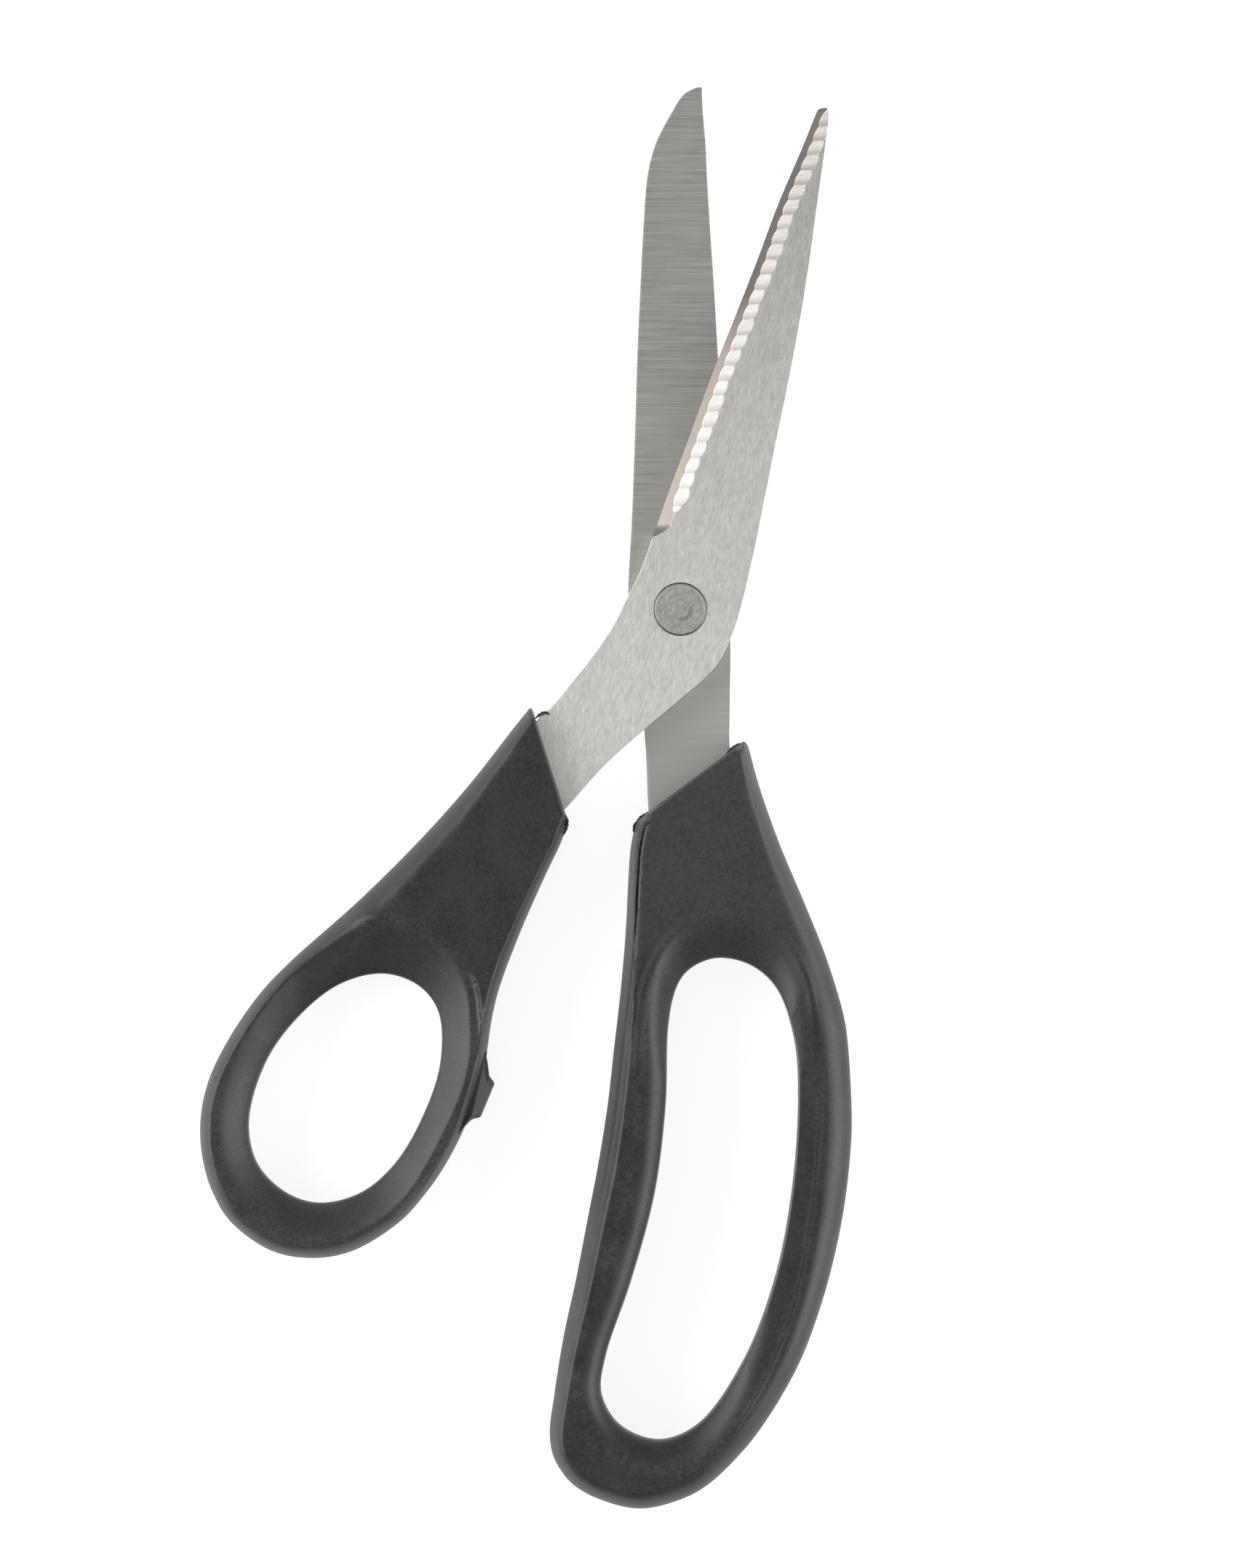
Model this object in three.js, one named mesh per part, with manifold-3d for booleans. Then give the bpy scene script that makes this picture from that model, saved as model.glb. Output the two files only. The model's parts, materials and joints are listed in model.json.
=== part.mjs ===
// A pair of pinking shears lying on its back with the blades a little way open.
//
// Two flat steel blades cross at a rivet. The front one carries a row of scalloped flutes above its cutting
// edge, and the rear one has a plain ground face. Each blade ends in a tang with two keying holes, and a
// nylon handle is moulded round each tang: a round loop for the thumb and a long one for the fingers.
//
// Millimetres, +Z up. Outlines are drawn about the pivot axis, with +Y towards the tips and z = 0 on the
// table. At the end the whole group moves so that the origin is the centre of its footprint.

import * as THREE from "three";
import { mergeVertices } from "three/addons/utils/BufferGeometryUtils.js";
import Module from "manifold-3d";

const wasm = await Module();
wasm.setup();

// ---------------------------------------------------------------- driving dimensions

const HANDLE_THICKNESS = 12;
const BLADE_THICKNESS = 2.6;
const BLADE_GAP = 0.3; // between the two blades' inner faces
const MOULDING_GAP = 0.3; // between a tang and the nylon round it

const RUNNING_GAP = 0.1; // between washers, and round the rivet's shank

const MID_Z = HANDLE_THICKNESS / 2; // the plane in which the blades shear
const FRONT_Z = MID_Z + BLADE_GAP / 2; // inner face of the front blade
const FRONT_TOP = FRONT_Z + BLADE_THICKNESS;
const REAR_TOP = MID_Z - BLADE_GAP / 2; // inner face of the rear blade
const REAR_Z = REAR_TOP - BLADE_THICKNESS;

const SHANK_RADIUS = 2.5;
const BORE_RADIUS = SHANK_RADIUS + RUNNING_GAP;
const WASHER_BORE_RADIUS = SHANK_RADIUS + 0.3;
const HEAD_RADIUS = 3.8;
const HEAD_HEIGHT = 1.2;
const HEAD_STAND = 0.05; // how far the head stands out of its counterbore
const HEAD_CHAMFER = 0.2;
const SINK_RADIUS = HEAD_RADIUS + 0.3; // the counterbore in the front blade
const GLIDE_RADIUS = 5.8; // nylon washer between the blades
const GLIDE_THICKNESS = 0.5;
const GLIDE_STAND = 0.2; // how far it stands out of its recess in the rear blade
const SPRING_RADIUS = 5.2; // dished washer behind the rear blade
const SPRING_THICKNESS = 0.5;
const SPRING_DISH = 0.45;
const COLLAR_RADIUS = 4.6; // plain ring behind the dished washer
const COLLAR_THICKNESS = 0.8;
const TAIL_RADIUS = 3.5; // the rivet's end, spun down on the ring
const TAIL_THICKNESS = 0.7;

// Heights of the pieces behind the rear blade, from the blade down to the rivet's end.
const SPRING_TOP = REAR_Z - RUNNING_GAP;
const SPRING_LOW = SPRING_TOP - SPRING_THICKNESS - SPRING_DISH;
const COLLAR_TOP = SPRING_LOW - RUNNING_GAP;
const COLLAR_LOW = COLLAR_TOP - COLLAR_THICKNESS;
const TAIL_TOP = COLLAR_LOW - RUNNING_GAP;
const TAIL_LOW = TAIL_TOP - TAIL_THICKNESS;

const EDGE_LEAN = 0.384; // of the front blade's cutting edge, in X per Y
const STRIP_LOW = 0.4; // metal left at the front blade's cutting edge
const STRIP_WIDTH = 2.1; // the plain strip ground along that edge, where no flute cuts into it
const FLUTE_COUNT = 26;
const FLUTE_TOP_Y = 75.2; // the flute nearest the tip starts here
const FLUTE_PITCH = 2.2; // along Y at the tip
const FLUTE_PITCH_GROWTH = 0.0064; // each is longer than the last by this much
const FLUTE_RADIUS = 2; // of the round-edged wheel that ground it
const FLUTE_REACH = 3.3; // from the cutting edge to a flute's square inner end
const FLUTE_END_DEPTH = 0.45; // at that end
const FLUTE_TIP_DEPTH = 1.15; // where it opens into the strip, at the tip
const FLUTE_HEEL_DEPTH = 0.95; // and at the heel

const KEY_HOLE_RADIUS = 1.6; // holes in a tang that the nylon flows through
const KEY_PIN_RADIUS = KEY_HOLE_RADIUS - MOULDING_GAP;
const STOP_THICKNESS = 8; // the bumper on the thumb loop

const CIRCLE_SEGMENTS = 40;
const SPLINE_SEGMENTS = 4; // per control point

// Rounding of a handle's outer side and slope of its finger hole, as [step from the outline, depth below the
// top face]. Both are mirrored for the underside. The hole's profile runs on just past the face it opens in.
const OUTER_SIDE = [[0, 4.2], [0.15, 2.6], [0.8, 1.0], [2.1, 0]];
const HOLE_SIDE = [[0, 4.4], [1.3, 2.4], [3.6, 0], [4.06, -0.3]];

// ---------------------------------------------------------------- outlines, about the pivot axis

const PIVOT = [0, 0];

// A smooth curve through the points, as Vector2s.
function smooth(points, closed = false) {
  const curve = new THREE.CatmullRomCurve3(
    points.map(([x, y]) => new THREE.Vector3(x, y, 0)),
    closed,
    "centripetal",
  );
  const straight = points.length === 2;
  const count = straight ? 1 : (points.length - (closed ? 0 : 1)) * SPLINE_SEGMENTS;
  const found = curve.getPoints(count).map((p) => new THREE.Vector2(p.x, p.y));
  return closed ? found.slice(0, -1) : found;
}

// Joins smooth stretches into one outline. They meet in corners, and it runs anticlockwise.
function outline(...stretches) {
  const points = [];
  for (const p of stretches.flatMap((s) => smooth(s)))
    if (!points.length || p.distanceTo(points.at(-1)) > 1e-3) points.push(p);
  if (points[0].distanceTo(points.at(-1)) < 1e-3) points.pop();
  return anticlockwise(points);
}

function anticlockwise(points) {
  return THREE.ShapeUtils.area(points) < 0 ? points.reverse() : points;
}

// An anticlockwise outline moved outwards by a distance, or inwards by a negative one.
function offset(points, distance) {
  return points.map((p, i) => {
    const before = points.at(i - 1);
    const after = points[(i + 1) % points.length];
    const a = p.clone().sub(before).normalize();
    const b = after.clone().sub(p).normalize();
    const side = new THREE.Vector2(a.y + b.y, -a.x - b.x).normalize();
    const stretch = 1 / Math.max(0.5, side.x * a.y - side.y * a.x); // no spike at a sharp corner
    return p.clone().addScaledVector(side, distance * stretch);
  });
}

// The front blade's cutting edge, from the heel to the tip.
const FRONT_EDGE = [[-3.4, 13], [1.4, 26.2], [8.1, 43.8], [14.85, 61.4], [20.5, 74.9]];

const REAR_BLADE = outline(
  // cutting edge, from the tang up to the tip
  [[7.2, -29], [7.5, -18], [7.6, -5.2], [7.4, 12], [6.6, 27], [5.7, 38.3], [4.85, 52.6], [4.3, 61.4],
    [3.3, 78.9]],
  [[3.3, 78.9], [2.6, 78.9], [0.55, 77.9]],
  // the clipped point, then the spine down to the handle
  [[0.55, 77.9], [-1.65, 74.6], [-3.85, 70.2], [-4.95, 65.8], [-5.6, 58.1], [-6.5, 39.4], [-7.1, 20.5],
    [-8.0, 2.0], [-7.6, -7], [-5.9, -14.5], [-5.2, -21.5], [-4.7, -30.5]],
  // the tang inside the handle
  [[-4.7, -30.5], [-3.2, -35], [-1.4, -43.6]],
  [[-1.4, -43.6], [5.9, -43.6]],
  [[5.9, -43.6], [6.4, -37], [7.2, -29]],
);

const FRONT_BLADE = outline(
  // spine, from the handle up to the tip
  [[-17.3, -30.1], [-14.2, -26.6], [-10.5, -22.6], [-3.3, -16.5], [2.75, -11.2], [6.6, -6.8], [8.9, -0.4],
    [11.1, 8.6], [13.75, 21.8], [17.3, 39.4], [20.1, 57], [21.9, 70.2], [22.4, 74.8]],
  [[22.4, 74.8], [22.05, 75.8], [21.2, 75.8], [20.5, 74.9]],
  // cutting edge, then the belly that sweeps down to the handle
  [...FRONT_EDGE.toReversed(), [-6.05, 5.8], [-8, 1.8], [-10.45, -3], [-13.5, -7.4], [-17, -11.8],
    [-21.6, -16.8]],
  // the tang inside the handle
  [[-21.6, -16.8], [-23.2, -19.4], [-27.5, -27.5], [-36, -39.9]],
  [[-36, -39.9], [-29.9, -44.2]],
  [[-29.9, -44.2], [-21, -33.5], [-17.3, -30.1]],
);

// The handles' sides run on past the collar, which is cut square afterwards.
const FINGER_HANDLE = outline(
  [[-7.1, -18], [-7.6, -37], [-8.2, -48.6], [-9.5, -61.8], [-11, -75], [-13.2, -88.2], [-15.8, -101.4],
    [-18.5, -114.6], [-19.75, -124], [-19.2, -127.8], [-16.4, -132.2], [-12.7, -134.4], [-6.1, -136],
    [0.6, -134.4], [9, -127.8], [15.5, -119], [19.6, -110.2], [22.4, -101.4], [24.4, -92.6], [25.5, -83.8],
    [25.9, -76], [25.4, -66.2], [23.5, -57.4], [20.6, -48.6], [16.8, -39.8], [13.4, -31], [10.7, -22.2],
    [7.6, -11.2]],
  [[7.6, -11.2], [-7.1, -18]],
);
const FINGER_HOLE = anticlockwise(smooth(
  [[6.05, -52.7], [1.6, -54.1], [-0.6, -57.4], [-1.8, -63], [-2.2, -75], [-3.85, -88.2], [-7.4, -101.4],
    [-11.3, -113], [-11.9, -118.5], [-9.2, -123.2], [-3.3, -125.5], [2.6, -123.2], [9.4, -113.8],
    [14.2, -101.4], [16.8, -88.2], [17.8, -74], [17.2, -65], [14.6, -57.4], [10.8, -53.9]],
  true,
));

const THUMB_HANDLE = outline(
  [[-13, -20], [-17, -32.1], [-20.2, -39.8], [-24.1, -48.6], [-28.4, -61.8], [-30, -70], [-32.4, -78],
    [-35.4, -83.8], [-42.4, -92.6], [-49.5, -97], [-55.6, -98.1], [-61.8, -97], [-68, -92.6], [-71.6, -86],
    [-72.6, -79.4], [-71.1, -70.6], [-66.3, -61.8], [-58.7, -53], [-48.8, -44.2], [-39.9, -35.4],
    [-32, -26.6], [-25.1, -17.8], [-19.4, -11]],
  [[-19.4, -11], [-13, -20]],
);
const THUMB_HOLE = anticlockwise(smooth(
  [[-44.9, -55.1], [-51.5, -56.7], [-57.9, -61.8], [-62.7, -68.6], [-65.2, -77.5], [-63.9, -83.8],
    [-59.5, -88.2], [-54.5, -89.7], [-48.4, -88.2], [-43.2, -83.8], [-38.9, -76.5], [-36.3, -68.5],
    [-36.6, -60.8], [-39.6, -56.9]],
  true,
));
const STOP_BUMPER = outline(
  [[-29.3, -68.3], [-29.2, -69.9], [-28.1, -71.6]],
  [[-28.1, -71.6], [-30.1, -76.6]],
  [[-30.1, -76.6], [-31.4, -77], [-32.6, -78.3]],
  [[-32.6, -78.3], [-33.6, -72.5], [-29.3, -68.3]],
);

// The line at which each collar is cut off square, as two points, with the blade on its left going along it.
const FINGER_COLLAR = [[-6.3, -31.7], [9.6, -20.1]];
const THUMB_COLLAR = [[-22.4, -14.6], [-16.9, -32.2]];

const REAR_KEY_HOLES = [[2.2, -34.2], [2.3, -40]];
const FRONT_KEY_HOLES = [[-25.3, -31.4], [-30.3, -38.8]];

// ---------------------------------------------------------------- solids

// A closed geometry as a manifold-3d solid.
function solid(geometry) {
  const bare = geometry.index ? geometry.toNonIndexed() : geometry.clone();
  bare.deleteAttribute("normal");
  bare.deleteAttribute("uv");
  const merged = mergeVertices(bare, 1e-4);
  return new wasm.Manifold(new wasm.Mesh({
    numProp: 3,
    vertProperties: merged.attributes.position.array,
    triVerts: new Uint32Array(merged.index.array),
  }));
}

function geometryOf(body) {
  const { vertProperties, triVerts } = body.getMesh();
  const geometry = new THREE.BufferGeometry();
  geometry.setAttribute("position", new THREE.BufferAttribute(new Float32Array(vertProperties), 3));
  geometry.setIndex(new THREE.BufferAttribute(new Uint32Array(triVerts), 1));
  geometry.computeVertexNormals();
  return geometry;
}

// An outline filled between two heights.
function plate(points, low, high) {
  const geometry = new THREE.ExtrudeGeometry(new THREE.Shape(points), {
    depth: high - low,
    bevelEnabled: false,
  });
  return solid(geometry.translate(0, 0, low));
}

// An upright round bar.
function bar([x, y], radius, low, high) {
  const geometry = new THREE.CylinderGeometry(radius, radius, high - low, CIRCLE_SEGMENTS);
  return solid(geometry.rotateX(Math.PI / 2).translate(x, y, (low + high) / 2));
}

// A closed profile of [radius, height] turned about the pivot axis.
function turned(profile) {
  const points = profile.map(([r, z]) => new THREE.Vector2(r, z));
  return solid(new THREE.LatheGeometry(points, CIRCLE_SEGMENTS).rotateX(Math.PI / 2));
}

// A body through rings of equally many points, given as [points, height] from the lowest up.
function loft(rings) {
  const positions = [];
  const corner = (point, z) => positions.push(point.x, point.y, z);
  for (let r = 0; r + 1 < rings.length; r++) {
    const [low, lowZ] = rings[r];
    const [high, highZ] = rings[r + 1];
    for (let i = 0; i < low.length; i++) {
      const next = (i + 1) % low.length;
      corner(low[i], lowZ);
      corner(low[next], lowZ);
      corner(high[next], highZ);
      corner(low[i], lowZ);
      corner(high[next], highZ);
      corner(high[i], highZ);
    }
  }
  const [bottom, bottomZ] = rings[0];
  const [top, topZ] = rings.at(-1);
  for (const [a, b, c] of THREE.ShapeUtils.triangulateShape(bottom, [])) {
    corner(bottom[c], bottomZ);
    corner(bottom[b], bottomZ);
    corner(bottom[a], bottomZ);
    corner(top[a], topZ);
    corner(top[b], topZ);
    corner(top[c], topZ);
  }
  const geometry = new THREE.BufferGeometry();
  geometry.setAttribute("position", new THREE.Float32BufferAttribute(positions, 3));
  return solid(geometry);
}

// Everything on the blade's side of a collar line, to cut a handle off square.
function beyond([from, to]) {
  const a = new THREE.Vector2(...from);
  const b = new THREE.Vector2(...to);
  const reach = 40;
  const along = b.clone().sub(a).normalize();
  const out = new THREE.Vector2(-along.y, along.x).multiplyScalar(reach);
  a.addScaledVector(along, -reach);
  b.addScaledVector(along, reach);
  return plate([a, b, b.clone().add(out), a.clone().add(out)], -1, HANDLE_THICKNESS + 1);
}

// ---------------------------------------------------------------- blades

// How far down the cutting edge a height y is, from 0 at the tip to 1 at the heel.
function alongEdge(y) {
  const [, heel] = FRONT_EDGE[0];
  const [, tip] = FRONT_EDGE.at(-1);
  return THREE.MathUtils.clamp((tip - y) / (tip - heel), 0, 1);
}

// Where the front blade's cutting edge is at a height y.
function edgeX(y) {
  const points = smooth(FRONT_EDGE);
  const above = Math.max(1, points.findIndex((p) => p.y >= y));
  const [low, high] = [points[above - 1], points[above]];
  return low.x + ((y - low.y) / (high.y - low.y)) * (high.x - low.x);
}

// What is ground off for the strip: a bevel up from the cutting edge. Its border is drawn by moving each
// point of the edge up a slant, so that the heel end runs out at that slant too.
function edgeStrip() {
  const slant = 0.7;
  const past = 1.2; // the bevel is carried on past the blade's face by this factor
  const edge = smooth([[-4.1, 11], ...FRONT_EDGE, [21.5, 77.2]]);
  const clearOfBlade = [new THREE.Vector2(8, 77.2), new THREE.Vector2(-10, 9)];
  const ring = (part) => {
    const step = (part * STRIP_WIDTH) / (1 - slant * EDGE_LEAN);
    const border = edge.map((p) => new THREE.Vector2(p.x + step, p.y + slant * step));
    return [[...border, ...clearOfBlade], THREE.MathUtils.lerp(FRONT_Z + STRIP_LOW, FRONT_TOP, part)];
  };
  return loft([ring(0), ring(past)]);
}

// The height at which a flute starts, counted from the tip.
function fluteStart(index) {
  return FLUTE_TOP_Y - FLUTE_PITCH * index - (FLUTE_PITCH_GROWTH * index * index) / 2;
}

// One scoop, ground by a wheel run across the blade along X. Its floor slopes down square to the cutting
// edge, and opens into the strip.
function flute(index) {
  const y = (fluteStart(index) + fluteStart(index + 1)) / 2;
  const openDepth = THREE.MathUtils.lerp(FLUTE_TIP_DEPTH, FLUTE_HEEL_DEPTH, alongEdge(y));
  const slope = (openDepth - FLUTE_END_DEPTH) / (FLUTE_REACH - STRIP_WIDTH / 2);
  const length = FLUTE_REACH + 1;
  const cutter = new THREE.CylinderGeometry(FLUTE_RADIUS, FLUTE_RADIUS, length, CIRCLE_SEGMENTS);
  cutter.rotateZ(Math.PI / 2).translate(-length / 2, 0, FLUTE_RADIUS);
  cutter.applyMatrix4(new THREE.Matrix4().makeShear(0, slope, 0, -slope * EDGE_LEAN, 0, 0));
  return solid(cutter.translate(edgeX(y) + FLUTE_REACH, y, FRONT_TOP - FLUTE_END_DEPTH));
}

// A hole right through the shears' thickness, to take out of a blade.
function throughHole(centre, radius) {
  return bar(centre, radius, 0, HANDLE_THICKNESS);
}

function frontBlade() {
  const sinkFloor = FRONT_TOP - HEAD_HEIGHT - BLADE_GAP;
  let blade = plate(FRONT_BLADE, FRONT_Z, FRONT_TOP)
    .subtract(edgeStrip())
    .subtract(throughHole(PIVOT, BORE_RADIUS))
    .subtract(bar(PIVOT, SINK_RADIUS, sinkFloor, HANDLE_THICKNESS));
  for (let i = 0; i < FLUTE_COUNT; i++) blade = blade.subtract(flute(i));
  for (const hole of FRONT_KEY_HOLES) blade = blade.subtract(throughHole(hole, KEY_HOLE_RADIUS));
  return blade;
}

// Its inner face has a shallow round recess for the glide washer.
function rearBlade() {
  const recessFloor = REAR_TOP + GLIDE_STAND - GLIDE_THICKNESS - RUNNING_GAP;
  let blade = plate(REAR_BLADE, REAR_Z, REAR_TOP)
    .subtract(throughHole(PIVOT, BORE_RADIUS))
    .subtract(bar(PIVOT, GLIDE_RADIUS + RUNNING_GAP, recessFloor, HANDLE_THICKNESS));
  for (const hole of REAR_KEY_HOLES) blade = blade.subtract(throughHole(hole, KEY_HOLE_RADIUS));
  return blade;
}

// ---------------------------------------------------------------- handles

// A loft whose side has this profile on its upper half and its mirror image on the lower half.
function twoSided(points, profile, inwards) {
  const lower = profile.map(([step, drop]) => [offset(points, inwards * step), drop]).reverse();
  const upper = profile.map(([step, drop]) => [offset(points, inwards * step), HANDLE_THICKNESS - drop]);
  return loft([...lower, ...upper]);
}

function handleShell(outer, hole) {
  return twoSided(outer, OUTER_SIDE, -1).subtract(twoSided(hole, HOLE_SIDE, 1));
}

// Makes the pocket that a tang fills, and the pins of nylon that run through its keying holes.
function mouldedRound(shell, blade, keyHoles, low, high) {
  const buried = 1; // how far a pin's ends reach into the handle
  const pocket = plate(offset(blade, MOULDING_GAP), low - MOULDING_GAP, high + MOULDING_GAP);
  let handle = shell.subtract(pocket);
  for (const hole of keyHoles) handle = handle.add(bar(hole, KEY_PIN_RADIUS, low - buried, high + buried));
  return handle;
}

function fingerHandle() {
  const shell = handleShell(FINGER_HANDLE, FINGER_HOLE).subtract(beyond(FINGER_COLLAR));
  return mouldedRound(shell, REAR_BLADE, REAR_KEY_HOLES, REAR_Z, REAR_TOP);
}

function thumbHandle() {
  const stopLow = MID_Z - STOP_THICKNESS / 2;
  const shell = handleShell(THUMB_HANDLE, THUMB_HOLE)
    .subtract(beyond(THUMB_COLLAR))
    .add(plate(STOP_BUMPER, stopLow, stopLow + STOP_THICKNESS));
  return mouldedRound(shell, FRONT_BLADE, FRONT_KEY_HOLES, FRONT_Z, FRONT_TOP);
}

// ---------------------------------------------------------------- pivot

// Its tail is spun over with a rounded rim, and its head is flat with a small chamfer.
function pivotRivet() {
  const headLow = FRONT_TOP - HEAD_HEIGHT;
  const headTop = FRONT_TOP + HEAD_STAND;
  const tailRim = TAIL_LOW + TAIL_THICKNESS / 3;
  return turned([
    [0, TAIL_LOW],
    [TAIL_RADIUS * 0.8, TAIL_LOW],
    [TAIL_RADIUS * 0.97, tailRim],
    [TAIL_RADIUS, TAIL_TOP],
    [SHANK_RADIUS, TAIL_TOP],
    [SHANK_RADIUS, headLow],
    [HEAD_RADIUS, headLow],
    [HEAD_RADIUS, headTop - HEAD_CHAMFER],
    [HEAD_RADIUS - HEAD_CHAMFER, headTop],
    [0, headTop],
  ]);
}

// A ring with a flat top and bottom.
function ring(inner, outer, low, high) {
  return turned([[inner, low], [outer, low], [outer, high], [inner, high], [inner, low]]);
}

// The plain ring that the rivet's tail is spun down on.
function rivetCollar() {
  return ring(BORE_RADIUS, COLLAR_RADIUS, COLLAR_LOW, COLLAR_TOP);
}

// The washer that presses the blades together: its rim bears on the rear blade, its middle on the collar.
function springWasher() {
  return turned([
    [WASHER_BORE_RADIUS, SPRING_LOW],
    [SPRING_RADIUS, SPRING_LOW + SPRING_DISH],
    [SPRING_RADIUS, SPRING_TOP],
    [WASHER_BORE_RADIUS, SPRING_TOP - SPRING_DISH],
    [WASHER_BORE_RADIUS, SPRING_LOW],
  ]);
}

function glideWasher() {
  const top = REAR_TOP + GLIDE_STAND;
  return ring(WASHER_BORE_RADIUS, GLIDE_RADIUS, top - GLIDE_THICKNESS, top);
}

// ---------------------------------------------------------------- assembly

const steel = { color: 0xc3c4bf, metalness: 1, roughness: 0.38 };
const groundSteel = { color: 0x91918c, metalness: 1, roughness: 0.42 };
const rivetSteel = { color: 0x9b9b97, metalness: 1, roughness: 0.35 };
const springSteel = { color: 0x6f7074, metalness: 1, roughness: 0.4 };
const blackNylon = { color: 0x3c3c3c, metalness: 0, roughness: 0.62 };
const whiteNylon = { color: 0xe4e0d4, metalness: 0, roughness: 0.5 };

const shears = new THREE.Group();

function add(name, body, look) {
  const mesh = new THREE.Mesh(geometryOf(body), new THREE.MeshStandardMaterial(look));
  mesh.name = name;
  shears.add(mesh);
}

add("front_blade", frontBlade(), steel);
add("rear_blade", rearBlade(), groundSteel);
add("thumb_handle", thumbHandle(), blackNylon);
add("finger_handle", fingerHandle(), blackNylon);
add("pivot_rivet", pivotRivet(), rivetSteel);
add("rivet_collar", rivetCollar(), rivetSteel);
add("spring_washer", springWasher(), springSteel);
add("glide_washer", glideWasher(), whiteNylon);

// The origin goes to the centre of the footprint, on the table.
const box = new THREE.Box3().setFromObject(shears);
shears.position.set(-(box.min.x + box.max.x) / 2, -(box.min.y + box.max.y) / 2, -box.min.z);

export default shears;
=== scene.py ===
"""The looks of a pair of pinking shears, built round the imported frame.

Outlines are in millimetres about the pivot, with +Y towards the tips and z measured up from the table.
The front blade is the fluted one, on the thumb handle, and the rear blade is on the finger handle.
"""

import json
import math

import bmesh
import bpy
import numpy as np
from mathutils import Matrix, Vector


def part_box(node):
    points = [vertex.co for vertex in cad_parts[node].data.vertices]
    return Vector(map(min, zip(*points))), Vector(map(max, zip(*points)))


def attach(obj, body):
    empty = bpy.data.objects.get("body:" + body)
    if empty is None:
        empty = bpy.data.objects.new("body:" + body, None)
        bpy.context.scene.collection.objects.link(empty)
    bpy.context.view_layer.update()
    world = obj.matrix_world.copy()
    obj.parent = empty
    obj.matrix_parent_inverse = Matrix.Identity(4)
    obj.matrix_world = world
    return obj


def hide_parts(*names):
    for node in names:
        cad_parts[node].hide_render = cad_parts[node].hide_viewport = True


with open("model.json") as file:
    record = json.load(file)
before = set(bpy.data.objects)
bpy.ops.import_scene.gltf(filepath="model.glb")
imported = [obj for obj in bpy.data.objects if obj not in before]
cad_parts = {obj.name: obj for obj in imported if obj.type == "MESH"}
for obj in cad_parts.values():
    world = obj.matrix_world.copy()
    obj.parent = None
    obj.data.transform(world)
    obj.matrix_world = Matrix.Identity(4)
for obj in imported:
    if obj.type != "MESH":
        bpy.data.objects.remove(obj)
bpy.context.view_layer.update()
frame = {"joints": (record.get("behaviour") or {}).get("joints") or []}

MM = 0.001
PIVOT = Vector(frame["joints"][0]["pos_m"]) / MM
HANDLE_LOW, HANDLE_HIGH = (corner.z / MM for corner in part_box("finger_handle"))
FRONT_LOW, FRONT_HIGH = (corner.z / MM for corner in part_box("front_blade"))
REAR_LOW, REAR_HIGH = (corner.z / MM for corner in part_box("rear_blade"))
# Both handles' middle plane, and half their thickness.
MID = (HANDLE_LOW + HANDLE_HIGH) / 2
HALF = (HANDLE_HIGH - HANDLE_LOW) / 2

SHARP_DEG = 30  # flatter folds than this are shaded smooth
# The rivet's shank and head.
SHANK_RADIUS = 2.5
RUNNING_GAP = 0.1
HEAD_RADIUS = 3.95
HEAD_HEIGHT = 1.2


# ------------------------------------------------------------------ curves


def trace(points, closed=False, steps=24):
    """A dense polyline along a centripetal Catmull-Rom curve through the points."""
    p = np.asarray(points, float)
    if len(p) == 2:
        return p
    if closed:
        p = np.vstack([p[-1], p, p[:2]])
    else:
        p = np.vstack([2 * p[0] - p[1], p, 2 * p[-1] - p[-2]])
    gaps = np.sqrt(np.linalg.norm(np.diff(p, axis=0), axis=1))
    found = []
    for i in range(1, len(p) - 2):
        before, here, after = gaps[i - 1], gaps[i], gaps[i + 1]
        a, b, c, d = p[i - 1 : i + 3]
        leave = here * ((b - a) / before - (c - a) / (before + here) + (c - b) / here)
        arrive = here * ((c - b) / here - (d - b) / (here + after) + (d - c) / after)
        t = np.linspace(0, 1, steps, endpoint=False)[:, None]
        found.append(
            b * (2 * t**3 - 3 * t**2 + 1)
            + leave * (t**3 - 2 * t**2 + t)
            + c * (3 * t**2 - 2 * t**3)
            + arrive * (t**3 - t**2)
        )
    if not closed:
        found.append(p[-2:-1])
    return np.vstack(found)


def lengths(line):
    """How far along a polyline each of its points is."""
    return np.concatenate([[0], np.cumsum(np.linalg.norm(np.diff(line, axis=0), axis=1))])


def evenly(line, step):
    """A polyline taken again at nearly equal steps, with both ends kept."""
    along = lengths(line)
    count = max(2, int(round(along[-1] / step)) + 1)
    at = np.linspace(0, along[-1], count)
    return np.column_stack([np.interp(at, along, line[:, k]) for k in range(line.shape[1])])


def distance_to(points, line):
    """The distance from each point to an open polyline."""
    a, b = line[:-1], line[1:]
    ab = b - a
    square = np.maximum((ab**2).sum(1), 1e-12)
    nearest = np.full(len(points), np.inf)
    segments_at_once = 40
    for chunk in np.array_split(np.arange(len(a)), max(1, len(a) // segments_at_once)):
        ap = points[:, None, :] - a[chunk]
        t = np.clip((ap * ab[chunk]).sum(2) / square[chunk], 0, 1)
        gap = np.linalg.norm(ap - t[..., None] * ab[chunk], axis=2)
        nearest = np.minimum(nearest, gap.min(1))
    return nearest


def smoothstep(low, high, x):
    """A smooth rise from 0 at low to 1 at high. With low above high, it rises as x falls."""
    t = np.clip((x - low) / (high - low), 0, 1)
    return t * t * (3 - 2 * t)


def bulge(v, power):
    """A convex rise from 0 to 1 as v goes from 0 to 1. Power 1 is a straight ramp, 2 is a quarter circle."""
    v = np.clip(v, 0, 1)
    return (1 - (1 - v) ** power) ** (1 / power)


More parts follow.
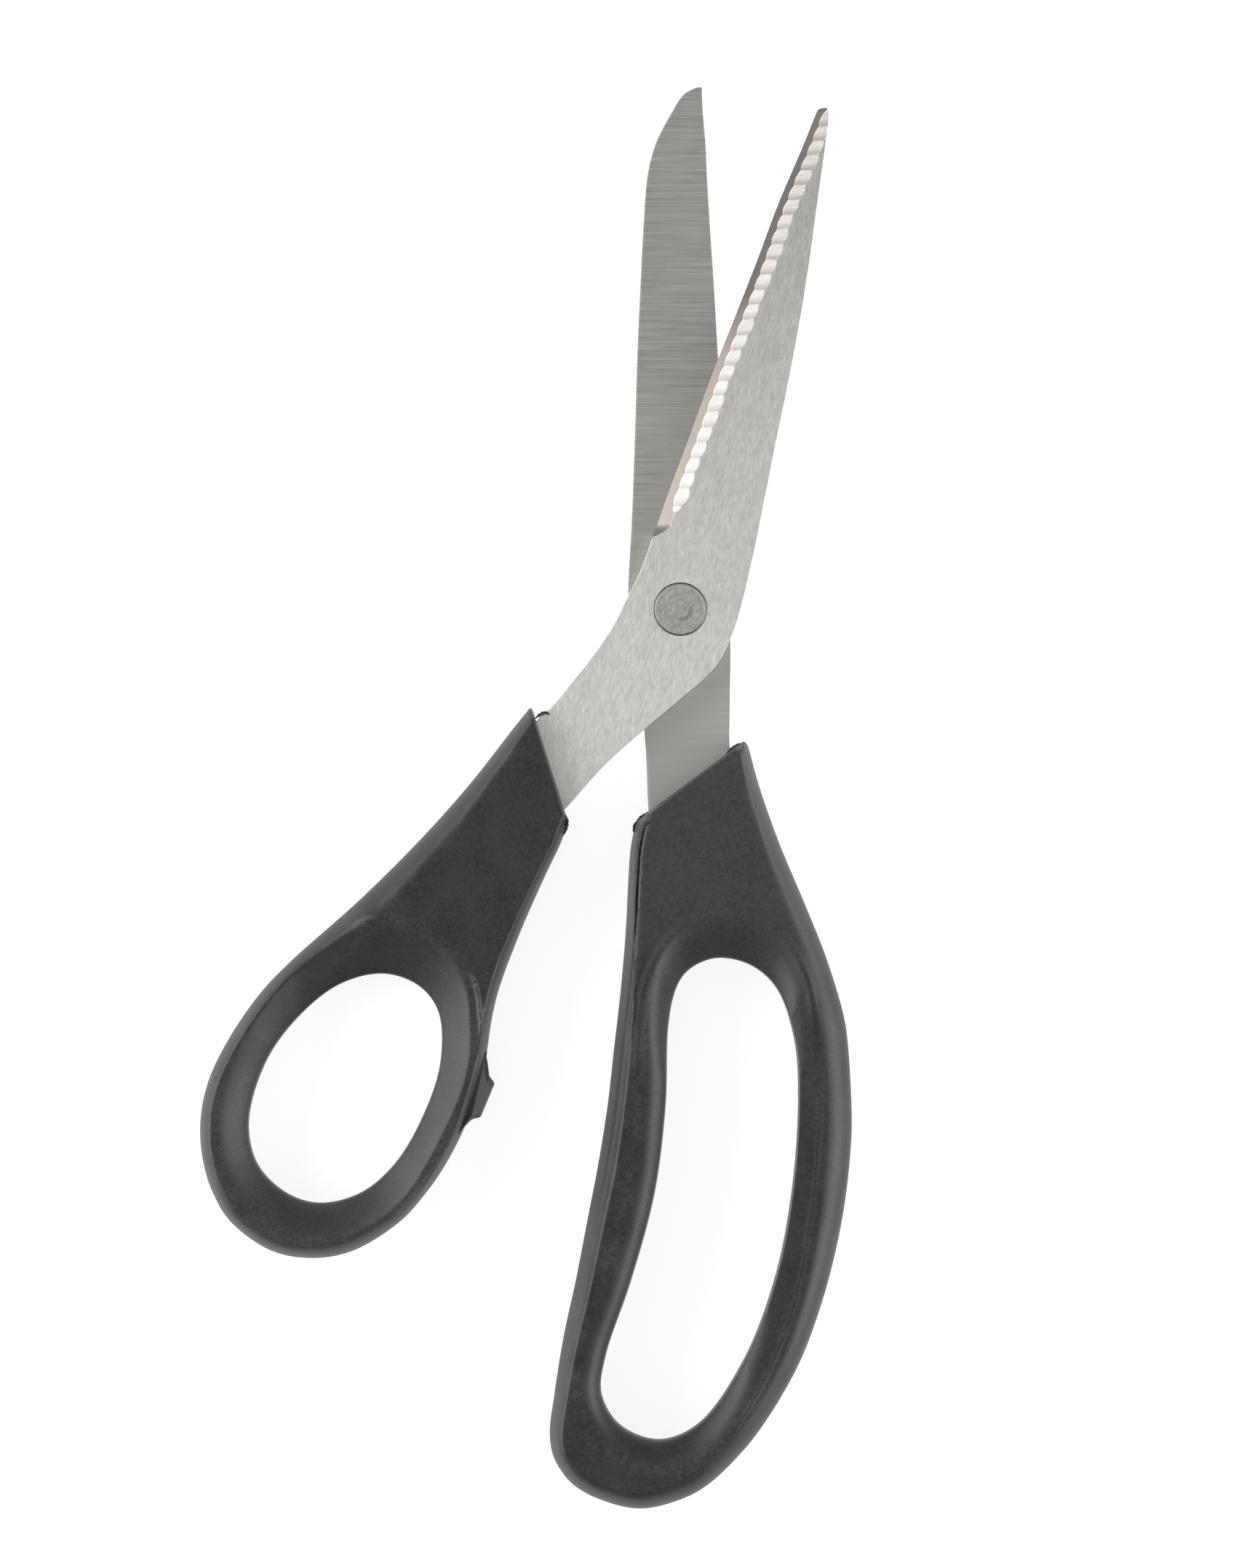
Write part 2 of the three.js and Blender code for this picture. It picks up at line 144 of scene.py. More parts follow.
def soft_min(a, b, radius):
    """The smaller of two heights, rounded over where they cross."""
    h = np.clip(0.5 + 0.5 * (b - a) / radius, 0, 1)
    return b + (a - b) * h - radius * h * (1 - h)


def by_angle(keys, angle):
    """A value at any angle, from a list of (degrees, value)."""
    at, values = np.array(sorted(keys), float).T
    return np.interp(angle, at, values, period=360)


# ------------------------------------------------------------------ meshes


def new_object(name, vertices, faces, sharp_deg=SHARP_DEG):
    """An object from points in millimetres about the pivot."""
    v = np.asarray(vertices, float) + [PIVOT.x, PIVOT.y, 0]
    mesh = bpy.data.meshes.new(name)
    mesh.from_pydata((v * MM).tolist(), [], [list(map(int, f)) for f in faces])
    mesh.update()
    mesh.shade_smooth()
    mesh.set_sharp_from_angle(angle=math.radians(sharp_deg))
    made = bpy.data.objects.new(name, mesh)
    bpy.context.scene.collection.objects.link(made)
    return made


def quads(rows, columns, wrap):
    """The quads of a grid of points, numbered row by row. wrap joins the last row to the first."""
    r = np.arange(rows if wrap else rows - 1)
    c = np.arange(columns - 1)
    here = (r[:, None] * columns + c).ravel()
    beside = (((r + 1) % rows)[:, None] * columns + c).ravel()
    return np.column_stack([here, here + 1, beside + 1, beside])


def sleeve(rings, count):
    """The quads of a tube, from rings of points numbered ring by ring."""
    faces = []
    for k in range(rings - 1):
        for i in range(count):
            j = (i + 1) % count
            faces.append([k * count + i, k * count + j, (k + 1) * count + j, (k + 1) * count + i])
    return faces


def set_mask(made, name, values):
    """A number on each vertex, for a material to read."""
    layer = made.data.attributes.new(name, "FLOAT", "POINT")
    layer.data.foreach_set("value", np.asarray(values, np.float32))


def join(parts):
    """Makes one object of several."""
    for o in bpy.context.selected_objects:
        o.select_set(False)
    for o in parts:
        o.select_set(True)
    bpy.context.view_layer.objects.active = parts[0]
    bpy.ops.object.join()
    return parts[0]


def cut(made, cutter):
    """Takes the cutter out of an object, and removes the cutter."""
    boolean = made.modifiers.new("cut", "BOOLEAN")
    boolean.operation = "DIFFERENCE"
    boolean.solver = "EXACT"
    boolean.object = cutter
    bpy.context.view_layer.objects.active = made
    bpy.ops.object.modifier_apply(modifier=boolean.name)
    bpy.data.objects.remove(cutter)
    made.data.set_sharp_from_angle(angle=math.radians(SHARP_DEG))


def drill(made, radius, low, high, segments):
    """Takes an upright cylinder about the pivot out of an object."""
    cut(made, turned("drill", [[0, low], [radius, low], [radius, high], [0, high]], segments))


def turned(name, profile, segments=128, sharp_deg=SHARP_DEG):
    """A closed body turned about the pivot.

    The profile is a list of [radius, height]. It ends where it starts, or has both its ends on the axis.
    """
    angle = np.linspace(0, math.tau, segments, endpoint=False)
    vertices = [(r * math.cos(a), r * math.sin(a), z) for a in angle for r, z in profile]
    made = new_object(name, vertices, quads(segments, len(profile), True), sharp_deg)
    clean(made)
    return made


def clean(made):
    """Welds coincident points and turns the faces outwards."""
    weld_m = 1e-7
    bm = bmesh.new()
    bm.from_mesh(made.data)
    bmesh.ops.remove_doubles(bm, verts=bm.verts, dist=weld_m)
    bmesh.ops.recalc_face_normals(bm, faces=bm.faces)
    bm.to_mesh(made.data)
    bm.free()


# ------------------------------------------------------------------ blades


def slab(name, top, low, masks=None):
    """A closed body under a grid of top points, down to a flat face at height low."""
    rows, columns = top.shape[:2]
    bottom = top.copy()
    bottom[..., 2] = low
    count = rows * columns
    upper = quads(rows, columns, False)
    lower = upper[:, ::-1] + count
    rim = np.concatenate(
        [
            np.arange(columns),
            np.arange(1, rows) * columns + columns - 1,
            (rows - 1) * columns + np.arange(columns - 2, -1, -1),
            np.arange(rows - 2, 0, -1) * columns,
        ]
    )
    after = np.roll(rim, -1)
    walls = np.column_stack([rim, after, after + count, rim + count])
    vertices = np.vstack([top.reshape(-1, 3), bottom.reshape(-1, 3)])
    made = new_object(name, vertices, np.vstack([upper, lower, walls]))
    for mask, values in (masks or {}).items():
        set_mask(made, mask, np.concatenate([values.ravel(), np.zeros(count)]))
    clean(made)
    return made


def ladder_rows(ladder, step):
    """Left and right ends of rows across a blade, from its tip down, at nearly equal steps."""
    ends = np.array([[*left, *right] for left, right in ladder], float)
    return evenly(trace(ends), step)


def across(ends, from_left, from_right, middle):
    """Points across each row: at set distances from both ends, with a number of them spread between."""
    left, right = ends[:, :2], ends[:, 2:4]
    width = np.linalg.norm(right - left, axis=1)
    near, far = max(from_left), max(from_right)
    # Where a row is too narrow for the set distances, they shrink to leave this much of it.
    spare = 0.06
    fit = np.minimum(1, (1 - spare) * width / (near + far))
    columns = [np.outer(fit, [d]).ravel() for d in from_left]
    gap_start, gap_end = near * fit, width - far * fit
    for k in range(1, middle + 1):
        columns.append(gap_start + (gap_end - gap_start) * k / (middle + 1))
    columns += [width - d * fit for d in sorted(from_right, reverse=True)]
    away = np.column_stack(columns)
    unit = (right - left) / width[:, None]
    return left[:, None, :] + away[..., None] * unit[:, None, :], away


def rounded(away, width, drop):
    """How far an edge's rounding lowers the face, at each distance from the edge."""
    return drop * (1 - bulge(away / width, 2))


# The flutes are counted from the tip, and each is a little longer than the one before it.
FLUTES = 26
FLUTE_TOP = 75.2
FLUTE_PITCH = 2.2
FLUTE_GROWTH = 0.0064
# The wheel that ground a flute left a hollow a little steeper on its lower side than on its upper side.
FLUTE_UPPER_RADIUS, FLUTE_LOWER_RADIUS = 5.4, 3.5
FLUTE_SAG = 0.12  # from the middle of a flute down to its deepest line
FLUTE_SLANT = 0.03  # of that line, as it goes across the blade
FLUTE_REACH = 3.2  # from the cutting edge to where a flute's floor runs out at the face
FLUTE_TIP_DEPTH, FLUTE_HEEL_DEPTH = 1.12, 0.95  # halfway across the strip
EDGE_METAL = 0.4  # the blade's thickness at its cutting edge
STRIP_WIDTH = 2.1  # of the plain strip ground along that edge
HEEL_Y = 12.85  # where the strip ends
HEEL_RUN = 1.95  # from there down to where the wall at its end reaches the face

# The rows of each blade from its tip down, as the left end and the right end of each.
FRONT_LADDER = [
    [(21.2, 75.78), (22.05, 75.8)],
    [(20.75, 75.45), (22.32, 75.42)],
    [(20.45, 74.8), (22.4, 74.8)],
    [(18.6, 70.2), (21.9, 70.2)],
    [(14.85, 61.4), (20.7, 61.4)],
    [(11.55, 52.6), (19.5, 52.6)],
    [(8.1, 43.8), (18.1, 43.8)],
    [(4.6, 35), (16.45, 35)],
    [(1.4, 26.2), (14.65, 26.2)],
    [(-1.9, 17.4), (12.9, 17.4)],
    [(-4.2, 10.8), (11.6, 10.8)],
    [(-6.05, 5.8), (10.5, 5.8)],
    [(-8, 1.8), (9.5, 1.6)],
    [(-10.45, -3), (8.0, -3.4)],
    [(-13.5, -7.4), (5.2, -8.8)],
    [(-17, -11.8), (-0.4, -13.9)],
    [(-19.6, -14.9), (-6.05, -18.7)],
    [(-21.6, -16.8), (-11.4, -23.5)],
    [(-24.5, -22.5), (-17.3, -30.1)],
    [(-28, -27.6), (-21.5, -34.5)],
]

REAR_LADDER = [
    [(2.45, 78.98), (3.28, 79.02)],
    [(0.6, 78.0), (3.31, 77.95)],
    [(-1.65, 74.6), (3.5, 74.6)],
    [(-3.85, 70.2), (3.85, 70.2)],
    [(-4.95, 65.8), (4.05, 65.8)],
    [(-5.6, 58.1), (4.5, 58.1)],
    [(-6.1, 48.2), (5.15, 48.2)],
    [(-6.5, 39.4), (5.65, 39.4)],
    [(-6.95, 25), (6.7, 25)],
    [(-7.4, 13), (7.35, 13)],
    [(-7.95, 2), (7.55, 2)],
    [(-7.6, -7), (7.6, -7)],
    [(-5.9, -14.5), (7.5, -14.5)],
    [(-5.2, -21.5), (7.4, -21.5)],
    [(-4.8, -30.5), (7.2, -30.5)],
    [(-4, -37), (6.8, -37)],
]


def flute_starts():
    """The top of each flute, and of the two that would follow."""
    i = np.arange(FLUTES + 2)
    return FLUTE_TOP - FLUTE_PITCH * i - FLUTE_GROWTH * i * i / 2


def flute_floor(y, away, index):
    """Depth of one flute below the blade's face, and how far down the flute each point is."""
    start, stop = flute_starts()[index : index + 2]
    centre = (start + stop) / 2 - FLUTE_SAG
    share = (FLUTE_TOP - centre) / (FLUTE_TOP - HEEL_Y)
    open_depth = FLUTE_TIP_DEPTH + (FLUTE_HEEL_DEPTH - FLUTE_TIP_DEPTH) * share
    # The wheel did not stop at quite the same place each time.
    reach = FLUTE_REACH + 0.1 * math.sin(5.1 * index) + 0.06 * math.sin(2.3 * index + 1)
    radius = np.where(y > centre, FLUTE_UPPER_RADIUS, FLUTE_LOWER_RADIUS)
    if index == FLUTES:
        # Past the last flute is a mere touch of the wheel.
        centre = start - 0.5
        radius = 1.3
        open_depth = 0.78
        reach = reach - 0.5
    up = (y - centre - FLUTE_SLANT * (away - 2)) / radius
    hollow = radius * (1 - np.sqrt(np.maximum(1 - up**2, 0)))
    depth = open_depth * (reach - away) / (reach - STRIP_WIDTH / 2) - hollow
    return np.where(np.abs(up) < 1, depth, 0), (start - y) / (start - stop)


def is_lowest(mine, other):
    """1 where one ground face lies below another and 0 elsewhere, with a narrow fade where they cross."""
    return smoothstep(-0.015, 0.03, other - mine)


def front_relief(y, away):
    """Height of the front blade's face, masks for the parts of it that were ground in different ways, and
    masks for painted shade in the flutes.
    """
    face = FRONT_HIGH - FRONT_LOW
    strip = EDGE_METAL + (face - EDGE_METAL) * away / STRIP_WIDTH
    # The strip ends at the heel, where the wheel was lifted and left a wall that curves up like a claw.
    below_heel = np.maximum(HEEL_Y - y, 0)
    strip = strip + (face - EDGE_METAL) * (below_heel / HEEL_RUN) ** 2
    on_wall = smoothstep(0, 0.25, below_heel) * smoothstep(0.0, 0.02, face - strip)
    depth = np.zeros_like(y)
    second = np.zeros_like(y)
    # How far down the deepest flute each point is, for painted shade on each flute's lower side.
    painted_lee_shade = np.zeros_like(y)
    for i in range(FLUTES + 1):
        found, down = flute_floor(y, away, i)
        deeper = found > depth
        second = np.where(deeper, depth, np.maximum(second, found))
        painted_lee_shade = np.where(deeper, np.clip(down, 0, 1), painted_lee_shade)
        depth = np.where(deeper, found, depth)
    scoop = face - depth
    height = np.minimum(np.minimum(strip, scoop), face)
    in_flute = is_lowest(scoop, np.minimum(strip, face))
    masks = {
        "flute": in_flute,
        "strip": is_lowest(strip, np.minimum(scoop, face)),
        "wall": on_wall,
        # Painted shade along the ridges between flutes.
        "ridge": in_flute * (1 - smoothstep(0.0, 0.055, depth - second)),
        "painted_lee_shade": painted_lee_shade * in_flute,
    }
    return height, masks


def front_blade():
    """Its points are close together in the ground part, and further apart elsewhere."""
    fine, skip = 0.1, 5
    fine_columns = 41
    ground_to = HEEL_Y - 4
    ends = ladder_rows(FRONT_LADDER, fine)
    ground = ends[:, 1] > ground_to
    ends = np.vstack([ends[ground], ends[~ground][::skip]])
    left = [0, fine / 2] + [fine * k for k in range(1, fine_columns + 1)]
    xy, away = across(ends, left, [0, 0.06, 0.16, 0.5], 8)
    y = xy[..., 1]
    height, masks = front_relief(y, away)
    from_right = away[:, -1:] - away
    height = np.minimum(height, FRONT_HIGH - FRONT_LOW - rounded(from_right, width=0.1, drop=0.1))
    height -= smoothstep(HEEL_Y - 2, HEEL_Y - 3, y) * rounded(away, width=0.12, drop=0.1)
    made = slab("visual_front_blade", np.dstack([xy, FRONT_LOW + height]), FRONT_LOW, masks)
    # The rivet's head sits in a sink, and its shank in a bore through the sink's floor.
    clear = 1
    sink_floor = FRONT_HIGH - HEAD_HEIGHT - 0.3
    drill(made, HEAD_RADIUS + 0.08, sink_floor, FRONT_HIGH + clear, 160)
    drill(made, SHANK_RADIUS + RUNNING_GAP, FRONT_LOW - clear, FRONT_HIGH, 96)
    return made


def rear_blade():
    """Its cutting edge has very fine teeth, cut square across it."""
    tooth_pitch, tooth_depth, rows_per_tooth = 0.52, 0.13, 4
    lowest_tooth = 1
    points_stand = 0.04
    ends = ladder_rows(REAR_LADDER, tooth_pitch / rows_per_tooth)
    toothed = ends[:, 3] > lowest_tooth
    phase = np.arange(len(ends)) % rows_per_tooth / rows_per_tooth
    bite = np.where(toothed, tooth_depth * np.abs(2 * phase - 1), 0)
    ends[:, 2] += points_stand - bite
    ends = np.vstack([ends[toothed], ends[~toothed][::rows_per_tooth]])
    xy, away = across(ends, [0, 0.06, 0.16, 0.5], [0, 0.05, 0.15, 0.6], 7)
    from_right = away[:, -1:] - away
    height = REAR_HIGH - REAR_LOW - rounded(away, width=0.16, drop=0.1)
    height -= rounded(from_right, width=0.05, drop=0.03)
    return slab("visual_rear_blade", np.dstack([xy, REAR_LOW + height]), REAR_LOW)


# ------------------------------------------------------------------ handles

HOLE_ROUNDING = 0.22  # at the top of the hole's wall
COLLAR_ROUNDING = 0.45
COLLAR_BLEND = 0.05  # how softly that rounding meets the face
COLLAR_STEP = 0.4  # between points along the collar
CREASE_DEG = 42  # a handle's own sharp angle
RUB_AND_HIGHLIGHT_WIDTH = 1.1  # of the rubbed look and painted highlight on either side of an edge

# A plan gives a handle's outline as stretches, each with the step that its points are taken at, then the
# collar that closes it, and the hole. Next come lists of (degrees round the centre, value):
#   wall: how much of the height at the hole is a plain wall
#   slope and slope_power: the width of the slope above that wall, and its bulge
#   flank and flank_power: the same for the flank that falls to the outline
#   blend: how softly the slope and the flank meet
#   rub_and_highlight: how much their upper edges are rubbed and carry a painted highlight
# dust is a list of (y, how dusty the plastic is). Each of the lines stands out of the face a little beyond
# the slope, with its own height and width, from one angle to another.

THUMB = {
    "name": "visual_thumb_handle",
    "centre": (-50.6, -72.4),
    "sides": [
        ([(-16.95, -32.1), (-17.3, -33.2), (-18.1, -35.4), (-20.2, -39.8), (-24.1, -48.6), (-27.4, -57.4),
          (-28.5, -62), (-29.35, -67.5), (-30.6, -72.5), (-32.5, -78.1), (-35.4, -83.8), (-38.4, -88.2),
          (-42.4, -92.6), (-49.5, -97), (-55.6, -98.1), (-61.8, -97), (-68, -92.6), (-70.7, -88.2),
          (-72.1, -83.8), (-72.6, -79.4), (-72.3, -75), (-71.1, -70.6), (-69, -66.2), (-66.3, -61.8),
          (-63, -57.4), (-58.7, -53), (-48.8, -44.2), (-39.9, -35.4), (-32, -26.6), (-25.1, -17.8),
          (-23.25, -15.5)], 0.6),
        ([(-23.25, -15.5), (-22.85, -15.0), (-22.5, -14.95), (-22.25, -15.35)], 0.2),
    ],
    "collar": [(-22.25, -15.35), (-16.95, -32.1)],
    "hole": [(-44.9, -55.1), (-51.5, -56.7), (-57.9, -61.8), (-62.7, -68.6), (-65.2, -77.5), (-63.9, -83.8),
             (-59.5, -88.2), (-54.5, -89.7), (-48.4, -88.2), (-43.2, -83.8), (-38.9, -76.5), (-36.3, -68.5),
             (-36.6, -60.8), (-39.6, -56.9)],
    "wall": [(0, 0.46), (30, 0.42), (58, 0.15), (120, 0.12), (160, 0.3), (220, 0.3), (262, 0.1), (285, 0.3),
             (310, 0.46)],
    "blend": [(0, 0.25), (50, 0.5), (64, 0.7), (110, 0.7), (180, 0.8), (260, 0.8), (310, 0.25)],
    "slope_power": [(0, 1.1), (60, 1.05), (115, 1.05), (150, 1.35), (250, 1.35), (300, 1.1)],
    "slope": [(0, 4.3), (30, 4.6), (50, 6.4), (75, 8.2), (95, 8.3), (120, 6.8), (150, 6.0), (180, 5.7),
              (225, 5.7), (265, 5.9), (290, 5.0), (315, 4.0), (335, 3.9)],
    "flank": [(0, 1.5), (30, 1.7), (40, 2.0), (48, 1.5), (56, 1.1), (63, 1.9), (67, 3.4), (80, 4.4),
              (100, 4.5), (118, 3.0), (150, 2.1), (185, 1.9), (225, 2.0), (265, 2.7), (290, 2.3),
              (320, 1.7)],
    "flank_power": [(0, 1.8), (50, 2), (60, 1.9), (120, 1.7), (200, 1.6), (260, 1.9), (330, 1.8)],
    "rub_and_highlight": [(0, 1)],
    "dust": [(-96, 0.45), (-80, 0.35), (-62, 0.15), (-50, 0.08)],
    "lines": [
        {"beyond": 1.55, "height": 0.34, "width": 0.3, "from": -78, "to": 70},
        {"beyond": 0.6, "height": 0.3, "width": 0.9, "from": 40, "to": 150},
    ],
}

FINGER = {
    "name": "visual_finger_handle",
    "centre": (6, -85),
    "sides": [
        ([(-5.6, -31.2), (-6.3, -31.75), (-6.75, -32.5), (-7.05, -33.6)], 0.2),
        ([(-7.05, -33.6), (-7.5, -36), (-7.8, -39.8), (-8.25, -48.6), (-9, -57.4), (-10, -66.2), (-11, -75),
          (-12.4, -83.8), (-14.1, -92.6), (-15.8, -101.4), (-17.7, -110.2), (-19.1, -119), (-19.75, -124.4),
          (-19.3, -127.8), (-18.2, -130), (-16.4, -132.2), (-12.7, -134.4), (-6.1, -136), (0.6, -134.4),
          (4.4, -132.2), (9, -127.8), (12.5, -123.4), (17.7, -114.6), (21.1, -105.8), (23.5, -97),
          (25.1, -88.2), (25.9, -79.4), (25.9, -75), (25.4, -66.2), (24.8, -61.8), (22.2, -53),
          (18.7, -44.2), (15, -35.4), (11.9, -26.6), (10.45, -21.3)], 0.7),
        ([(10.45, -21.3), (10.1, -20.4), (9.6, -19.95), (9.0, -20.35)], 0.2),
    ],
    "collar": [(9.0, -20.35), (-5.6, -31.2)],
    "hole": [(6.05, -52.7), (2.9, -53.5), (0.6, -55.2), (-0.8, -57.8), (-1.8, -63), (-2.2, -75),
             (-3.85, -88.2), (-7.4, -101.4), (-11.3, -113), (-11.9, -118.5), (-9.2, -123.2), (-3.3, -125.5),
             (2.6, -123.2), (9.4, -113.8), (14.2, -101.4), (16.8, -88.2), (17.8, -74), (17.2, -65),
             (14.6, -57.4), (10.8, -53.9)],
    "wall": [(0, 0.93), (50, 0.92), (66, 0.8), (80, 0.25), (92, 0.1), (105, 0.2), (120, 0.48), (240, 0.46),
             (258, 0.3), (268, 0.45), (278, 0.75), (290, 0.92)],
    "blend": [(0, 0.4), (55, 0.5), (72, 1.0), (90, 0.9), (120, 0.8), (180, 1.2), (240, 1.1), (270, 0.9),
              (320, 0.4)],
    "slope_power": [(0, 1.3), (60, 1.15), (100, 1.1), (118, 1.5), (240, 1.7), (265, 1.3)],
    "slope": [(0, 3.1), (40, 3.1), (60, 3.5), (75, 5.6), (90, 6.6), (100, 5.4), (108, 4.2), (116, 4.0),
              (150, 4.1), (200, 4.1), (228, 4.0), (242, 4.0), (252, 4.2), (265, 4.4), (290, 3.8),
              (325, 3.2)],
    "flank": [(0, 5.9), (50, 5.9), (63, 5.0), (73, 4.2), (80, 3.4), (85, 2.6), (88, 1.5), (102, 1.0),
              (107, 1.2), (115, 1.8), (128, 2.6), (180, 2.8), (225, 2.4), (240, 2.0), (250, 2.8), (265, 3.7),
              (300, 4.6), (340, 5.4)],
    "flank_power": [(0, 2.2), (60, 2.2), (90, 1.7), (112, 1.15), (228, 1.15), (262, 1.9), (300, 2.2)],
    "rub_and_highlight": [(0, 0.35), (60, 0.5), (100, 1), (265, 1), (310, 0.4)],
    "dust": [(-58, 0), (-44, 0.75)],
    "lines": [
        {"beyond": 0.1, "height": 0.14, "width": 0.3, "from": -95, "to": 45},
        {"beyond": 0.5, "height": 0.25, "width": 0.8, "from": 50, "to": 135},
    ],
    # The parting step follows the part of the outline that is left of one x and above one y.
    "parting_step": (-4, -116),
}


def handle_field(plan, xy, angle, sides, collar, hole):
    """Height of a handle's face above its middle, how rubbed and lit by a painted highlight each point is,
    and how dusty.
    """
    from_hole = distance_to(xy, hole)
    from_side = distance_to(xy, sides)
    from_collar = distance_to(xy, collar)
    slope_width = by_angle(plan["slope"], angle)
    flank_width = by_angle(plan["flank"], angle)
    flank_power = by_angle(plan["flank_power"], angle)
    slope_power = by_angle(plan["slope_power"], angle)
    wall = by_angle(plan["wall"], angle)
    slope = (1 - wall) * bulge(from_hole / slope_width, slope_power)
    slope += wall * bulge(from_hole / HOLE_ROUNDING, 2)
    flank = bulge(from_side / flank_width, flank_power)
    end = HALF * bulge(from_collar / COLLAR_ROUNDING, 2)
    crest = soft_min(HALF * slope, HALF * flank, by_angle(plan["blend"], angle))
    height = soft_min(crest, end, COLLAR_BLEND)
    lines = sum(raised(line, angle, from_hole - slope_width) for line in plan["lines"])
    # Rubbing and a painted highlight along the top of the slope and, more faintly, of the flank.
    rim = ridge(from_hole, slope_width, RUB_AND_HIGHLIGHT_WIDTH) + 0.5 * ridge(from_side, flank_width, RUB_AND_HIGHLIGHT_WIDTH)
    rub_and_highlight = np.clip(rim * by_angle(plan["rub_and_highlight"], angle), 0, 1)
    dust = np.interp(xy[:, 1], *np.array(plan["dust"], float).T)
    # Neither the lines nor the rubbing and painted highlight reach the outline.
    inside = smoothstep(0.1, 1.2, np.minimum(from_side, from_collar))
    return height + lines * inside, {"edge": rub_and_highlight * inside, "dust": dust}


def ridge(away, place, width):
    """A smooth rise to 1 at one distance and back to 0."""
    return np.exp(-(((away - place) / width) ** 2))


def raised(line, angle, beyond_slope):
    """A raised line that follows the hole over part of the loop, and fades at both its ends."""
    turn = (angle - line["from"]) % 360
    span = line["to"] - line["from"]
    window = smoothstep(0, 14, turn) * smoothstep(0, 10, span - turn)
    return line["height"] * window * ridge(beyond_slope, line["beyond"], line["width"])


def parting_step(xy, side):
    """A groove along one side with a wavering lip inside it, both fading out down the limb."""
    groove_depth, groove_at, groove_width = 0.42, 1.45, 0.17
    lip_height, lip_at, lip_width = 0.12, 2.2, 0.2
    y = xy[:, 1]
    away = distance_to(xy, side)
    waver = 0.15 * np.sin(y * 0.9) + 0.08 * np.sin(y * 2.3)
    groove = -groove_depth * ridge(away, groove_at, groove_width) * smoothstep(-98, -72, y)
    lip = lip_height * ridge(away - waver, lip_at, lip_width) * smoothstep(-96, -66, y)
    below_collar = smoothstep(-31.5, -33.5, y)
    return (groove + lip) * below_collar


def hole_reach(centre, directions, hole):
    """How far the hole's wall is from its centre in each direction."""
    relative = hole - centre
    angle = np.degrees(np.arctan2(relative[:, 1], relative[:, 0]))
    reach = np.linalg.norm(relative, axis=1)
    order = np.argsort(angle)
    return np.interp(directions, angle[order], reach[order], period=360)


def spacing(total, near, far, near_rows, middle_rows, far_rows):
    """Distances along a ray: close together near both ends, closest of all at the very ends."""
    # On a short ray, the two close stretches take no more than these shares of it.
    near = np.minimum(near, 0.55 * total)
    far = np.minimum(far, 0.35 * total)
    first = near[:, None] * (1 - np.cos(np.linspace(0, math.pi / 2, near_rows)))
    last = total[:, None] - far[:, None] * (1 - np.cos(np.linspace(math.pi / 2, 0, far_rows)))
    t = np.linspace(0, 1, middle_rows + 2)[1:-1]
    middle = first[:, -1:] + (last[:, :1] - first[:, -1:]) * t
    return np.hstack([first, middle, last])


def rays(outline, hole, centre):
    """Points on rays from the hole's wall out to the outline, and each ray's angle round the centre."""
    relative = outline - centre
    reach = np.linalg.norm(relative, axis=1)
    angle = np.degrees(np.arctan2(relative[:, 1], relative[:, 0]))
    start = hole_reach(centre, angle, hole)
    away = spacing(reach - start, near=9.0, far=5.0, near_rows=26, middle_rows=10, far_rows=22)
    unit = relative / reach[:, None]
    return centre + (start[:, None] + away)[..., None] * unit[:, None, :], angle


def handle(plan):
    """A loop and its neck, as a sheet of rays out to the outline, with a mirror image below."""
    stretches = [evenly(trace(points), step) for points, step in plan["sides"]]
    sides = np.vstack([stretches[0]] + [s[1:] for s in stretches[1:]])
    collar_ends = np.array(plan["collar"], float)
    collar = evenly(collar_ends, COLLAR_STEP)
    outline = np.vstack([sides, collar[1:-1]])
    hole = trace(plan["hole"], closed=True)
    xy, angle = rays(outline, hole, np.array(plan["centre"], float))
    flat = xy.reshape(-1, 2)
    angles = np.repeat(angle, xy.shape[1])
    closed_hole = np.vstack([hole, hole[:1]])
    height, masks = handle_field(plan, flat, angles, sides, collar_ends, closed_hole)
    if "parting_step" in plan:
        left_of, above = plan["parting_step"]
        height += parting_step(flat, sides[(sides[:, 0] < left_of) & (sides[:, 1] > above)])
    rows, columns = xy.shape[:2]
    height = np.maximum(height, 0).reshape(rows, columns)
    height[:, 0] = 0
    height[:, -1] = 0
    top = np.dstack([xy, MID + height]).reshape(-1, 3)
    bottom = np.dstack([xy, MID - height]).reshape(-1, 3)
    upper = quads(rows, columns, True)
    lower = upper[:, ::-1] + len(top)
    made = new_object(plan["name"], np.vstack([top, bottom]), np.vstack([upper, lower]), CREASE_DEG)
    for mask, values in masks.items():
        set_mask(made, mask, np.concatenate([values, values]))
    clean(made)
    return made


